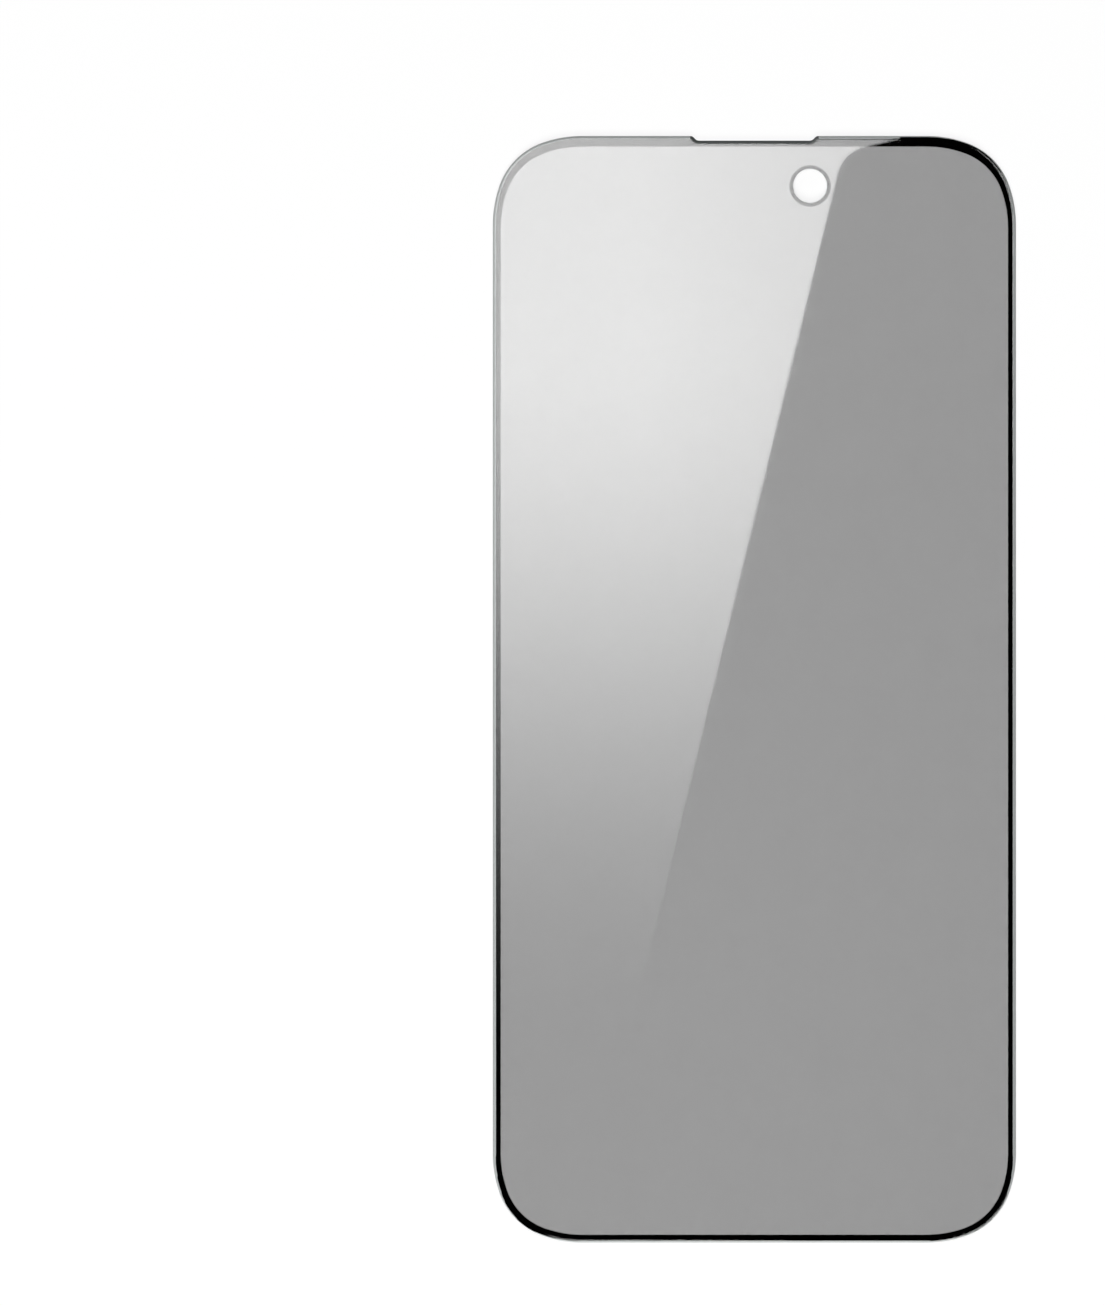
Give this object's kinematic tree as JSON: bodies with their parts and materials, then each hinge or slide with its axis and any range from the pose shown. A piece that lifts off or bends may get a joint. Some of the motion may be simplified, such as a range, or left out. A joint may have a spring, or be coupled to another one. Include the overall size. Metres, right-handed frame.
{
  "type": "privacy screen protector",
  "caption": "Privacy screen protector for a phone: thin tempered glass with rounded corners and a rounded edge, black printed border, tinted film, camera hole and earpiece notch.",
  "frame": {"origin": "middle of the adhesive's underside, on the surface that the protector lies on", "axes": "+Z out of the front of the glass, +Y towards the earpiece notch, +X to the right as seen from the front"},
  "size_m": [0.0738, 0.156, 0.0005],
  "materials": {
    "tempered_glass": "clear, polished",
    "black_print": "black screen-printed ink under glass",
    "privacy_film": "neutral grey louvre film, see-through from the front",
    "silicone_adhesive": "clear, glossy, tacky"
  },
  "bodies": {
    "root": {"cover_glass": "tempered_glass", "border_print": "black_print", "camera_ring_print": "black_print", "privacy_film": "privacy_film", "adhesive_layer": "silicone_adhesive"}
  },
  "joints": []
}
